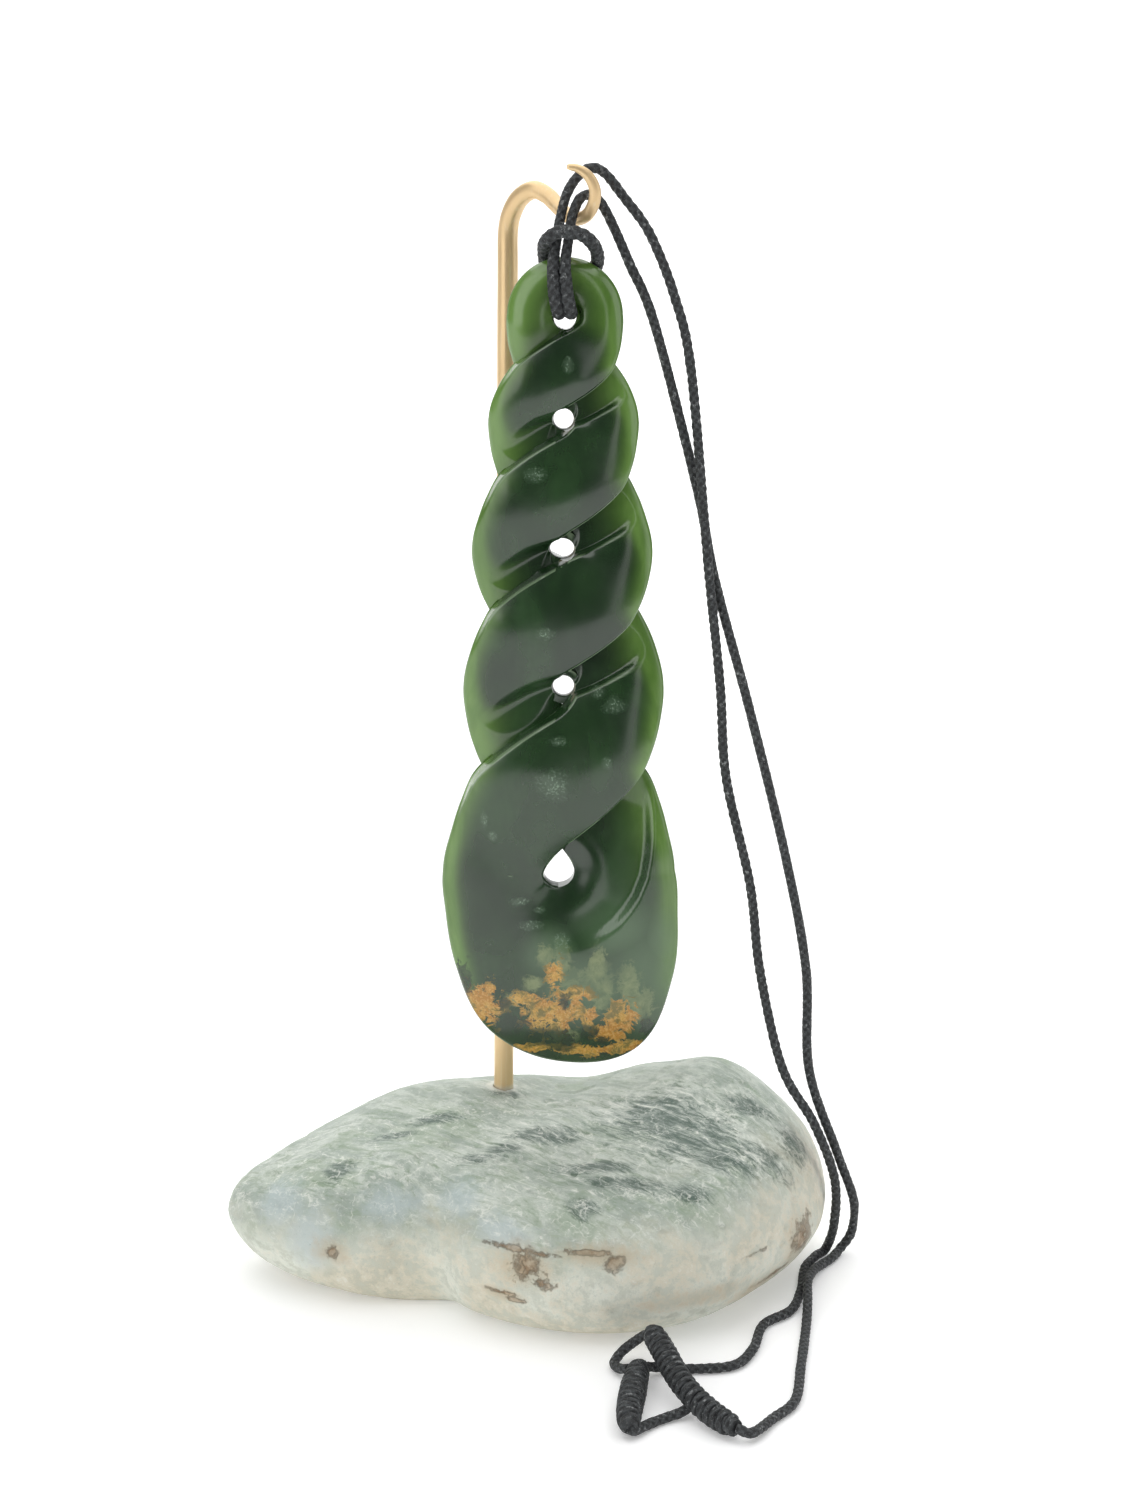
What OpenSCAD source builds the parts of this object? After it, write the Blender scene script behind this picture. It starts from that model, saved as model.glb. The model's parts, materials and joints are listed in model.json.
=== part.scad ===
// Greenstone twist pendant on a looped cord, hung from a hooked brass rod that stands in a boulder.
// Millimetres, +Z up, origin on the floor under the middle of the boulder, the pendant's face towards -Y.

/* [Pendant] */
// Height of the carved pendant, crown to foot of the big lobe
pendant_h = 120; // [116:0.5:121]
// Bore that the cord passes through, and the pendant swings about
cord_hole_d = 3.8; // [3.7:0.05:3.9]
// Height of that bore's centre above the floor
cord_hole_z = 145.7; // [145.7:0.05:146]
// Edge thickness of a strand, as a share of its full thickness
edge_share = 0.3; // [0.2:0.02:0.45]

/* [Rod] */
// Diameter of the rod's straight shaft
rod_d = 3; // [2.8:0.05:3.1]
// Height of the rod's foot above the floor, in its bore in the boulder
rod_foot = 12.6; // [8:0.2:16]

/* [Cord] */
// Diameter of the braided cord
cord_d = 1.5; // [1.3:0.05:1.5]
// Diameter of the long sliding wrap
long_wrap_d = 3.7; // [3.2:0.1:3.8]
// Diameter of the short sliding wrap
short_wrap_d = 4; // [3.4:0.1:4.1]

/* [Boulder] */
// Height of the floor of the boulder's saddle above the floor
saddle_h = 23; // [21:0.5:23.5]
// Height at which the boulder is widest
girth_h = 9; // [7:0.5:11]

/* [Hidden] */
gap = 0.05;

greenstone = [0.16, 0.30, 0.16];
boulder_grey = [0.72, 0.76, 0.70];
brass = [0.83, 0.68, 0.45];
cord_black = [0.15, 0.16, 0.17];

// Columns of the lobe table, one row for each opening between the strands, from the crown down:
// sideways shift, height under the cord hole, half width of the opening, half width of the
// outline, thickness of a strand, and how far the crossing below lifts a strand off the middle
SHIFT = 0;
DROP = 1;
OPEN = 2;
OUTLINE = 3;
THICK = 4;
LIFT = 5;
lobes = [
    [ 0.0,   0.0, 1.5,  8.2, 4.6, 1.2],
    [-0.2, -14.5, 1.4, 10.7, 5.2, 1.5],
    [-0.4, -33.1, 1.6, 13.0, 5.6, 1.8],
    [-0.2, -53.4, 1.5, 14.6, 5.9, 2.0],
    [-0.9, -81.5, 2.3, 17.2, 6.4, 2.1]
];
// How a crossing band widens from its opening, 0, to its outline, 1, in tenths of the way, as a share
// of the widest, and how much the widest is on each band's upper and lower edge, from the crown down
widening = [0, 0, 0.02, 0.15, 0.5, 0.8, 0.98, 1, 0.5, 0.08, 0];
upper_widest = [0.65, 1.55, 1.45, 2.5];
lower_widest = [1.25, 1.5, 1.35, 1.4];
// Reach of the big lobe's outline from its opening, from level at the right, down and round to the left
big_lobe_step = 22.5;
big_lobe = [17.2, 19.2, 24.0, 30.6, 30.2, 27.2, 21.6, 18.2, 17.2];
cord_hole_x = 5.65;
last_lobe = len(lobes) - 1;
// Drilled openings: lobe, width, height and thickness of the web of stone round them
drilled = [
    [1, 2.8, 2.8, 2.0],
    [2, 3.4, 2.7, 2.1],
    [3, 3.0, 2.9, 2.2]
];
web_d = 5;
drill_h = 14;
rings_a_turn = 12;
arch_rings = 6;
lobe_rings = 9;
// Places across a strand, from one edge to the other
across = [-1, -0.92, -0.74, -0.4, 0, 0.4, 0.74, 0.92, 1];

// Boulder: reach of its girth from the middle, every 22.5 degrees from +X towards +Y
girth_step = 22.5;
girth = [45.5, 47.8, 42.4, 32.4, 29.6, 29.7, 33.0, 40.5, 46.2, 35.4, 22.6, 23.7, 27.5, 33.0, 38.0, 41.2];
// Boulder: columns are reach as a share of the girth's, and rise, -1 at the foot to 0 at the girth to 1 on top
boulder_profile = [
    [0.72, -1.00],
    [0.86, -0.80],
    [0.95, -0.46],
    [1.00, 0.00],
    [0.985, 0.38],
    [0.94, 0.66],
    [0.86, 0.84],
    [0.75, 0.94],
    [0.60, 0.99],
    [0.42, 1.00],
    [0.21, 1.00]
];
boulder_sides = 48;
// Humps on the boulder's top: x, y, spread along x, spread along y, height
humps = [
    [-8, 12, 17, 15, 2.4],
    [29.5, 12, 16, 15, 6.7],
    [-44, 2, 16, 20, -6.2],
    [22, -26, 14, 12, -1.5],
    [46, 12, 9, 14, -1.6]
];

// Shaft of the rod: foot and top of its axis
shaft_foot = [-4.02, 12, rod_foot];
shaft_top = [-2.6, 12, 156.7];
shaft_sides = 14;
// Crook of the rod: x, y, z and diameter, from the shaft's top to the blunt tip
crook = [
    [-2.6, 12.0, 156.4, 2.96],
    [-2.1, 11.2, 159.2, 2.9],
    [-0.8, 9.7, 161.6, 2.8],
    [1.2, 8.0, 162.8, 2.6],
    [3.1, 6.5, 162.1, 2.45],
    [4.6, 5.0, 160.7, 2.3],
    [5.9, 3.4, 159.5, 2.1],
    [7.3, 1.2, 159.1, 2.0],
    [8.7, -1.0, 159.7, 1.85],
    [9.6, -2.6, 161.3, 1.75],
    [9.8, -3.4, 163.2, 1.65],
    [9.0, -3.8, 165.0, 1.5],
    [7.6, -4.0, 166.1, 1.2],
    [5.9, -4.0, 166.5, 0.8]
];
crook_steps = 3;

// Cord, outer strand: front of the hitch, round the crown, bore, hook, fall, floor, short wrap
outer_route = [
    [5.9, -4.3, 157.5], [4.0, -4.1, 157.4], [2.6, -2.6, 156.4], [2.3, 0.4, 154.9], [2.7, 2.9, 152.4],
    [4.1, 3.5, 148.9], [4.85, 2.0, 146.4], [4.85, -1.9, 146.4], [4.5, -3.4, 148.6], [4.2, -3.2, 152.6],
    [4.6, -2.0, 156.6], [5.2, -1.0, 160.2], [6.0, -0.4, 162.8], [7.4, 0.0, 164.9], [9.2, 0.2, 166.1],
    [11.2, 0.4, 165.4], [13.9, 0.6, 162.1], [17.6, 0.9, 157.0], [21.2, 1.4, 148.2], [23.7, 1.7, 137.5],
    [26.4, 1.4, 110.0], [28.5, 2.5, 91.5], [29.6, 3.0, 77.5], [33.4, 2.7, 61.0], [35.1, 1.9, 47.5],
    [38.6, 0.5, 32.7], [43.6, -0.2, 23.8], [47.0, 0.6, 14.6], [47.4, 3.2, 6.0], [46.4, 5.0, 1.0],
    [44.6, 2.6, 0.8], [42.5, -2.0, 0.8], [41.3, -9.5, 0.8], [39.2, -16.4, 0.8], [34.8, -21.2, 0.8],
    [32.7, -29.0, 0.8], [29.4, -34.2, 0.8], [22.0, -35.2, 0.8], [18.4, -35.6, 1.3], [16.8, -36.9, 2.0]
];
// Cord, inner strand: front of the hitch, round the crown, bore, hook, fall, floor, long wrap
inner_route = [
    [5.9, -4.3, 157.5], [7.7, -4.1, 157.5], [9.0, -2.6, 156.7], [9.8, -0.6, 155.2], [9.7, 1.8, 153.2],
    [9.0, 3.3, 151.2], [7.4, 3.6, 148.9], [6.45, 2.0, 146.4], [6.45, -1.9, 146.4], [6.5, -3.4, 148.6], [6.3, -3.2, 152.6],
    [6.3, -2.4, 156.2], [6.7, -1.4, 159.7], [7.8, -0.5, 162.0], [9.2, 0.0, 162.4], [10.6, 0.2, 161.4],
    [12.2, 0.5, 158.6], [14.8, 0.9, 152.8], [18.4, 1.5, 144.3], [24.8, 3.1, 120.5],
    [27.6, 3.1, 107.0], [33.0, 2.5, 87.5], [38.6, 2.4, 65.5], [42.0, 1.8, 48.0], [42.8, 1.5, 32.0],
    [47.4, 1.9, 18.4], [50.3, 2.8, 10.0], [50.4, 5.0, 4.0], [48.5, 4.8, 0.9], [46.9, 1.7, 0.8],
    [45.1, -0.9, 0.9], [43.6, -4.4, 1.6], [42.3, -9.5, 2.2], [41.8, -15.0, 1.8], [41.1, -21.0, 0.8],
    [39.2, -34.0, 0.8], [37.5, -44.5, 0.8], [34.0, -49.8, 0.8], [30.8, -54.9, 1.4], [28.7, -54.5, 1.9]
];
upper_tail_route = [
    [18.2, -33.3, 5.2], [17.1, -32.2, 4.6], [15.8, -31.6, 3.4], [13.9, -31.8, 1.9], [12.7, -33.5, 1.0],
    [13.2, -35.5, 1.1], [14.6, -37.0, 1.7]
];
lower_tail_route = [
    [14.2, -54.4, 1.8], [15.0, -53.9, 1.2], [17.2, -51.2, 0.8], [19.6, -49.4, 0.8], [21.4, -48.7, 1.1],
    [22.6, -48.0, 1.5]
];
long_wrap_route = [
    [18.0, -32.6, 5.4], [19.6, -38.0, 4.7], [21.1, -42.8, 3.8], [22.8, -46.8, 3.1], [25.4, -50.6, 2.2],
    [28.6, -54.6, 1.9]
];
short_wrap_route = [
    [16.2, -36.8, 2.1], [15.5, -41.0, 2.1], [14.9, -45.5, 2.1], [14.4, -50.0, 2.1], [14.2, -54.4, 2.1]
];
cord_sides = 8;
wrap_sides = 10;

// Smooth curve through four neighbouring values, at share f of the middle stretch
function smooth(a, b, c, d, f) =
    0.5 * (2 * b + (c - a) * f + (2 * a - 5 * b + 4 * c - d) * f * f + (3 * b - a - 3 * c + d) * f * f * f);

// Value i of a list, carried on in a straight line past either end
function at(list, i) =
    i < 0 ? 2 * list[0] - list[1] :
    i >= len(list) ? 2 * list[len(list) - 1] - list[len(list) - 2] :
    list[i];
function along(list, u) =
    let(i = min(max(floor(u), 0), len(list) - 2))
    smooth(at(list, i - 1), at(list, i), at(list, i + 1), at(list, i + 2), u - i);

// The same for a list that closes on itself
function around(list, u) =
    let(i = floor(u), n = len(list))
    smooth(list[(i - 1 + n) % n], list[i % n], list[(i + 1) % n], list[(i + 2) % n], u - i);

// Lobe table's column at place u, 0 at the cord hole and 4 at the big lobe's opening
function lobe(column, u) = along([for (row = lobes) row[column]], u);

// Shortest rise from 0 to 1 that starts and ends level
function ease(f) = let(c = min(max(f, 0), 1)) c * c * (3 - 2 * c);

// Middle of strand k at place u of the twist: x, y, z from the cord hole
function twist_point(u, k) =
    let(turn = 180 * (u + k), swing = (lobe(OPEN, u) + lobe(OUTLINE, u)) / 2,
        settle = ease(2 * u) * ease(2 * (last_lobe - u)))
    [lobe(SHIFT, u) + swing * cos(turn), -lobe(LIFT, u) * settle * sin(turn), lobe(DROP, u)];

// One ring of a strand: its middle, the way across it in the pendant's face, half width, thickness
function strand_ring(middle, sideways, half, thick) = concat(
    [for (s = across) middle + sideways * half * s - [0, 1, 0] * face_height(s, thick)],
    [for (i = [len(across) - 1:-1:0])
        middle + sideways * half * across[i] + [0, 1, 0] * face_height(across[i], thick)]);
function face_height(s, thick) = thick / 2 * (edge_share + (1 - edge_share) * pow(1 - s * s, 0.8));

function twist_ring(u, k) =
    let(step = 0.01, run = twist_point(u + step, k) - twist_point(u - step, k),
        sideways = [-run[2], 0, run[0]] / norm([run[0], run[2]]),
        band = min(floor(u), last_lobe - 1), way = 10 * (u - band),
        upper = upper_widest[band] * along(widening, way), lower = lower_widest[band] * along(widening, 10 - way),
        front = (band + k) % 2 == 0, low = front ? upper : lower, high = front ? lower : upper,
        half = (lobe(OUTLINE, u) - lobe(OPEN, u)) / 2)
    strand_ring(twist_point(u, k) + sideways * (high - low) / 2, sideways, half + (low + high) / 2, lobe(THICK, u));

// Ring that runs out from an opening's centre at an angle, from the inner reach to the outer one
function radial_ring(centre, angle, inner, outer, thick, k) =
    let(out = [cos(angle), 0, sin(angle)])
    strand_ring(centre + out * (inner + outer) / 2, k == 0 ? out : -out, (outer - inner) / 2, thick);

// Strand k, from the top of the crown arch down the twist to the foot of the big lobe
function strand_rings(k) = concat(
    [for (i = [0:arch_rings - 1]) let(angle = k == 0 ? 90 - 90 * i / arch_rings : 90 + 90 * i / arch_rings)
        radial_ring([0, 0, 0], angle, lobes[0][OPEN], lobes[0][OUTLINE], lobes[0][THICK], k)],
    [for (i = [0:last_lobe * rings_a_turn]) twist_ring(i / rings_a_turn, k)],
    [for (i = [1:lobe_rings]) let(fall = 90 * i / lobe_rings, angle = k == 0 ? -fall : 180 + fall,
            place = (k == 0 ? fall : 180 - fall) / big_lobe_step, row = lobes[last_lobe])
        radial_ring([row[SHIFT], 0, row[DROP]], angle, row[OPEN], along(big_lobe, place), row[THICK], k)]);

// Closed solid through rings of equal length
module loft(rings) {
    n = len(rings[0]);
    last = len(rings) - 1;
    polyhedron(
        points = [for (ring = rings) each ring],
        faces = concat(
            [[for (i = [n - 1:-1:0]) i]],
            [for (j = [0:last - 1], i = [0:n - 1]) let(a = j * n + i, b = j * n + (i + 1) % n)
                each [[a, b + n, a + n], [a, b, b + n]]],
            [[for (i = [0:n - 1]) last * n + i]]),
        convexity = 8);
}

// Rings of a round tube: a route of points and a list of diameters, one for each point
function tube_rings(route, sizes, sides) =
    let(last = len(route) - 1,
        runs = [for (i = [0:last]) unit(route[min(i + 1, last)] - route[max(i - 1, 0)])],
        overs = carried(runs, [level(runs[0])], 1))
    [for (i = [0:last]) let(over = overs[i], up = cross(over, runs[i]), r = sizes[i] / 2)
        [for (s = [0:sides - 1]) let(angle = (s + 0.5) * 360 / sides)
            route[i] + r * (over * cos(angle) + up * sin(angle))]];
function unit(v) = v / norm(v);
function level(run) = let(side = cross(run, abs(run[2]) > 0.9 ? [0, 1, 0] : [0, 0, 1])) unit(side);
// Each ring's first direction is the one before, turned no more than the bend asks
function carried(runs, overs, i) =
    i >= len(runs) ? overs :
    let(last = overs[i - 1], over = unit(last - runs[i] * (last * runs[i])))
    carried(runs, concat(overs, [over]), i + 1);

module tube(route, size, sides) loft(tube_rings(route, [for (p = route) size], sides));

// Height of the boulder's top over a place on the floor
function boulder_top(x, y) =
    saddle_h + sum([for (h = humps) h[4] * exp(-pow((x - h[0]) / h[2], 2) - pow((y - h[1]) / h[3], 2))])
    + 0.35 * sin(9 * x + 40) * cos(11 * y) + 0.25 * sin(21 * x - 13 * y);
function sum(list) = list * [for (i = list) 1];

function boulder_ring(row) =
    [for (i = [0:boulder_sides - 1])
        let(angle = 360 * i / boulder_sides, reach = row[0] * around(girth, angle / girth_step),
            x = reach * cos(angle), y = reach * sin(angle))
        [x, y, row[1] < 0 ? girth_h * (1 + row[1]) : girth_h + (boulder_top(x, y) - girth_h) * row[1]]];

module boulder() {
    rings = [for (row = boulder_profile) boulder_ring(row)];
    n = boulder_sides;
    last = len(rings) - 1;
    crown = n * len(rings);
    polyhedron(
        points = concat([for (ring = rings) each ring], [[0, 0, boulder_top(0, 0)]]),
        faces = concat(
            [[for (i = [0:n - 1]) i]],
            [for (j = [0:last - 1], i = [0:n - 1]) let(a = j * n + i, b = j * n + (i + 1) % n)
                each [[a, a + n, b + n], [a, b + n, b]]],
            [for (i = [0:n - 1]) [last * n + i, crown, last * n + (i + 1) % n]]),
        convexity = 6);
}

// Straight round bar between two points
module bar(from, to, d) {
    run = to - from;
    translate(from)
        rotate([0, acos(run[2] / norm(run)), atan2(run[1], run[0])])
            cylinder(d = d, h = norm(run), $fn = 48);
}

module rock_base() {
    color(boulder_grey)
        difference() {
            boulder();
            bar(shaft_foot, shaft_top, rod_d + 2 * gap);
        }
}

module hook_rod() {
    places = [for (i = [0:(len(crook) - 1) * crook_steps]) i / crook_steps];
    route = [for (u = places) [for (c = [0:2]) along([for (row = crook) row[c]], u)]];
    sizes = [for (u = places) along([for (row = crook) row[3]], u)];
    color(brass) {
        bar(shaft_foot, shaft_top, rod_d);
        loft(tube_rings(route, sizes, shaft_sides));
    }
}

module twist_pendant() {
    color(greenstone)
        translate([cord_hole_x, 0, cord_hole_z])
            difference() {
                resize([0, 0, pendant_h], auto = true)
                    difference() {
                        union() {
                            for (k = [0, 1]) loft(strand_rings(k));
                            for (row = drilled)
                                at_opening(row[0]) cylinder(d = web_d, h = row[3], center = true, $fn = 28);
                        }
                        for (row = drilled)
                            at_opening(row[0])
                                scale([row[1], row[2], 1]) cylinder(d = 1, h = drill_h, center = true, $fn = 20);
                    }
                rotate([90, 0, 0]) cylinder(d = cord_hole_d, h = drill_h, center = true, $fn = 48);
            }
}

// Middle of the opening of one lobe, facing the front
module at_opening(index) {
    translate([lobes[index][SHIFT], 0, lobes[index][DROP]]) rotate([90, 0, 0]) children();
}

module cord_outer() { color(cord_black) tube(outer_route, cord_d, cord_sides); }
module cord_inner() { color(cord_black) tube(inner_route, cord_d, cord_sides); }
module tail_upper() { color(cord_black) tube(upper_tail_route, cord_d, cord_sides); }
module tail_lower() { color(cord_black) tube(lower_tail_route, cord_d, cord_sides); }
module knot_long() { color(cord_black) tube(long_wrap_route, long_wrap_d, wrap_sides); }
module knot_short() { color(cord_black) tube(short_wrap_route, short_wrap_d, wrap_sides); }

rock_base();
hook_rod();
twist_pendant();
cord_outer();
cord_inner();
tail_upper();
tail_lower();
knot_long();
knot_short();
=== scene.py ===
import json
import math

import bmesh
import bpy
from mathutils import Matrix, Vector, noise
from mathutils.kdtree import KDTree

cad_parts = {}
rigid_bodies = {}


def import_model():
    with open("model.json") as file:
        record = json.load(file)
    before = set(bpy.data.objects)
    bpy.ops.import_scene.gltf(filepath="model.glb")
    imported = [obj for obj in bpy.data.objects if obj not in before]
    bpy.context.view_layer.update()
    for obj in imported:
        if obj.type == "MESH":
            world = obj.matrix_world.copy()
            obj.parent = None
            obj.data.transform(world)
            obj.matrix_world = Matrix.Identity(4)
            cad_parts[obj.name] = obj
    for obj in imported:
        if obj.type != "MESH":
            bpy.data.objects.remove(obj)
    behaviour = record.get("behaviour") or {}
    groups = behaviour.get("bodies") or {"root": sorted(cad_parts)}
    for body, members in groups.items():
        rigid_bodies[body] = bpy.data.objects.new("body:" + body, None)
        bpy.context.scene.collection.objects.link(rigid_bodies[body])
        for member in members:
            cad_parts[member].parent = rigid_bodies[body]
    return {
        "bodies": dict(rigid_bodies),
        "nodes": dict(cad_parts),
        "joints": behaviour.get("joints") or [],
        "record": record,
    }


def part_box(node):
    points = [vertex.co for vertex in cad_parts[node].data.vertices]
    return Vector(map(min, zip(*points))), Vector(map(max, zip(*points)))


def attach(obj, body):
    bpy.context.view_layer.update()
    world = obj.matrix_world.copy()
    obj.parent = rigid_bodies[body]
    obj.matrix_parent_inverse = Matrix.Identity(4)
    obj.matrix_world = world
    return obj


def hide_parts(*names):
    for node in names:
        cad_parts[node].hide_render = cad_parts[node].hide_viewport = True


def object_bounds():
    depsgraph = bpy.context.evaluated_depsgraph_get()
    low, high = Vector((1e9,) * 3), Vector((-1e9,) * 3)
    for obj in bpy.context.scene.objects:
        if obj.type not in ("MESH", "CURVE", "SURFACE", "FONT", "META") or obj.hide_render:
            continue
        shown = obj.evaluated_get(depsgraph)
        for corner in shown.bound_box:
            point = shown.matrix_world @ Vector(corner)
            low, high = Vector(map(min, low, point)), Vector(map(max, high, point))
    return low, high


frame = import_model()
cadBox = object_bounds()
bpy.ops.object.select_all(action="DESELECT")
mm = 0.001
print("frame loaded")


# small helpers for curves

def smooth(a, b, c, d, f):  # curve through b and c, with a and d as its neighbours
    square, cube = 2 * a - 5 * b + 4 * c - d, 3 * b - a - 3 * c + d
    return 0.5 * (2 * b + (c - a) * f + square * f * f + cube * f ** 3)


def along(row, u):  # the same through a whole row of values, carried on straight past its ends
    i = min(max(math.floor(u), 0), len(row) - 2)
    before = row[i - 1] if i > 0 else 2 * row[0] - row[1]
    after = row[i + 2] if i + 2 < len(row) else 2 * row[-1] - row[-2]
    return smooth(before, row[i], row[i + 1], after, u - i)


def ease(f):  # level rise from 0 to 1
    c = min(max(f, 0.0), 1.0)
    return c * c * (3 - 2 * c)


def mix(a, b, f):
    return a + (b - a) * f


def evenly(points, gap):  # points at even gaps along a close row of points
    reach = [0.0]
    for a, b in zip(points, points[1:]):
        reach.append(reach[-1] + (b - a).length)
    count = max(2, round(reach[-1] / gap))
    path, j = [], 0
    for i in range(count + 1):
        target = reach[-1] * i / count
        while j < len(points) - 2 and reach[j + 1] < target:
            j += 1
        path.append(points[j].lerp(points[j + 1], (target - reach[j]) / max(reach[j + 1] - reach[j], 1e-12)))
    return path


def evenPath(points, gap):  # the same along the smooth curve through a route
    route = [Vector(p) for p in points]
    return evenly([along(route, i / 40) for i in range(40 * (len(route) - 1) + 1)], gap)


def runLength(path):
    return sum((b - a).length for a, b in zip(path, path[1:]))


def sideways(path):  # directions across a path, each turned from the last no more than the bend asks
    runs = [(path[min(i + 1, len(path) - 1)] - path[max(i - 1, 0)]).normalized() for i in range(len(path))]
    over = runs[0].orthogonal().normalized()
    frames = []
    for run in runs:
        over = (over - run * over.dot(run)).normalized()
        frames.append((over, run.cross(over)))
    return frames


# small helpers for meshes

def meshPiece(name, points, faces):
    mesh = bpy.data.meshes.new(name)
    mesh.from_pydata(points, [], faces)
    mesh.update()
    piece = bpy.data.objects.new(name, mesh)
    bpy.context.scene.collection.objects.link(piece)
    return piece


def choose(piece):
    bpy.ops.object.select_all(action="DESELECT")
    piece.select_set(True)
    bpy.context.view_layer.objects.active = piece


def applyAll(piece):
    choose(piece)
    for modifier in list(piece.modifiers):
        bpy.ops.object.modifier_apply(modifier=modifier.name)


def ringsToMesh(name, rings):  # closed skin through rings of equal length, with a fan on each end
    n = len(rings[0])
    points = [p for ring in rings for p in ring]
    faces = []
    for j in range(len(rings) - 1):
        for i in range(n):
            a, b = j * n + i, j * n + (i + 1) % n
            faces.append((a, b, b + n, a + n))
    for ring, start, turn in ((rings[0], 0, -1), (rings[-1], (len(rings) - 1) * n, 1)):
        points.append(sum((Vector(p) for p in ring), Vector()) / n)
        hub = len(points) - 1
        for i in range(n):
            pair = (start + i, start + (i + 1) % n)
            faces.append((hub, *(pair if turn > 0 else pair[::-1])))
    return meshPiece(name, points, faces)


# camera, as the photograph was taken

cameraSet = {"place": (0.0053, -0.385207, 0.178455), "tiltDown": 14, "lens": 64.8, "sensor": 36}


def makeCamera():
    data = bpy.data.cameras.new("camera")
    data.lens = cameraSet["lens"]
    data.sensor_width = cameraSet["sensor"]
    data.clip_start, data.clip_end = 0.01, 20
    camera = bpy.data.objects.new("camera", data)
    camera.location = cameraSet["place"]
    camera.rotation_euler = (math.radians(90 - cameraSet["tiltDown"]), 0, 0)
    bpy.context.scene.collection.objects.link(camera)
    bpy.context.scene.camera = camera


makeCamera()
print("camera placed")


# braided cord: two strands, two short tails and the two sliding wraps

cordSet = {
    "thick": 1.5, "sides": 18, "gap": 0.17, "yarns": 4, "pitch": 5.2, "relief": 0.17, "fuzz": 0.05,
    "hitched": 26, "fuller": 0.36,  # length of the hitch, and how much fuller the cord is drawn there
    "outer": [
        (6.7, -4.2, 157.5), (4.6, -4.2, 157.5), (3.1, -2.9, 156.4), (2.7, 0.2, 154.8), (3.0, 2.8, 152.3),
        (4.1, 3.5, 148.9), (4.8, 2.0, 146.4), (4.75, -1.9, 146.4), (4.3, -3.4, 148.6), (4.0, -3.2, 152.6),
        (4.5, -2.2, 156.6), (5.2, -1.0, 160.2), (6.0, -0.4, 162.8), (7.4, 0.0, 164.9), (9.2, 0.2, 166.1),
        (11.2, 0.4, 165.4), (13.9, 0.6, 162.1), (17.6, 0.9, 157.0), (21.2, 1.4, 148.2), (23.7, 1.7, 137.5),
        (26.4, 1.4, 110.0), (28.5, 2.5, 91.5), (29.6, 3.0, 77.5), (33.4, 2.7, 61.0), (35.1, 1.9, 47.5),
        (38.6, 0.5, 32.7), (43.6, -0.2, 23.8), (47.0, 0.6, 14.6), (47.4, 3.2, 6.0), (46.4, 5.0, 1.0),
        (44.6, 2.6, 0.8), (42.5, -2.0, 0.8), (41.3, -9.5, 0.8), (39.2, -16.4, 0.8), (34.8, -21.2, 0.8),
        (32.7, -29.0, 0.8), (29.4, -34.2, 0.8), (22.0, -35.2, 0.8), (18.4, -35.6, 1.3), (16.8, -36.9, 2.0)],
    "inner": [
        (5.1, -4.3, 157.7), (7.7, -4.1, 157.3), (9.4, -2.6, 156.0), (10.2, -0.6, 154.3), (10.1, 1.8, 152.5),
        (9.2, 3.3, 150.9), (7.4, 3.6, 148.8), (6.5, 2.0, 146.4), (6.45, -1.9, 146.4), (5.98, -3.5, 148.6),
        (5.65, -3.3, 152.6), (6.1, -2.6, 156.2), (6.7, -1.4, 159.7), (7.8, -0.5, 162.0), (9.2, 0.0, 162.4),
        (10.6, 0.2, 161.4), (12.2, 0.5, 158.6), (14.8, 0.9, 152.8), (18.4, 1.5, 144.3), (24.8, 3.1, 120.5),
        (27.6, 3.1, 107.0), (33.0, 2.5, 87.5), (38.6, 2.4, 65.5), (42.0, 1.8, 48.0), (42.8, 1.5, 32.0),
        (47.4, 1.9, 18.4), (50.3, 2.8, 10.0), (50.4, 5.0, 4.0), (48.5, 4.8, 0.9), (46.9, 1.7, 0.8),
        (45.1, -0.9, 0.9), (43.6, -4.4, 1.6), (42.3, -9.5, 2.2), (41.8, -15.0, 1.8), (41.1, -21.0, 0.8),
        (39.2, -34.0, 0.8), (37.5, -44.5, 0.8), (34.0, -49.8, 0.8), (30.8, -54.9, 1.4), (28.7, -54.5, 1.9)],
    "tailUpper": [
        (18.2, -33.3, 5.2), (17.1, -32.2, 4.6), (15.8, -31.6, 3.4), (13.9, -31.8, 1.9), (12.7, -33.5, 1.0),
        (13.2, -35.5, 1.1), (14.6, -37.0, 1.7)],
    "tailLower": [
        (14.2, -54.4, 1.8), (15.0, -53.9, 1.2), (17.2, -51.2, 0.8), (19.6, -49.4, 0.8), (21.4, -48.7, 1.1),
        (22.6, -48.0, 1.5)],
}
wrapSet = {
    "thread": 1.25, "pitch": 1.22, "gap": 0.22, "sides": 12, "core": 2.5, "relief": 0.1, "around": 18,
    "long": {"node": "knot_long", "wide": [3.5, 3.7, 3.7, 3.65, 3.7, 3.5], "route": [
        (18.0, -32.6, 5.4), (19.6, -38.0, 4.7), (21.1, -42.8, 3.8), (22.8, -46.8, 3.1), (25.4, -50.6, 2.2),
        (28.6, -54.6, 1.9)]},
    "short": {"node": "knot_short", "wide": [3.3, 3.8, 4.0, 3.8, 3.3], "route": [
        (16.2, -36.8, 2.1), (15.5, -41.0, 2.1), (14.9, -45.5, 2.1), (14.4, -50.0, 2.1), (14.2, -54.4, 2.1)]},
}


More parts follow.
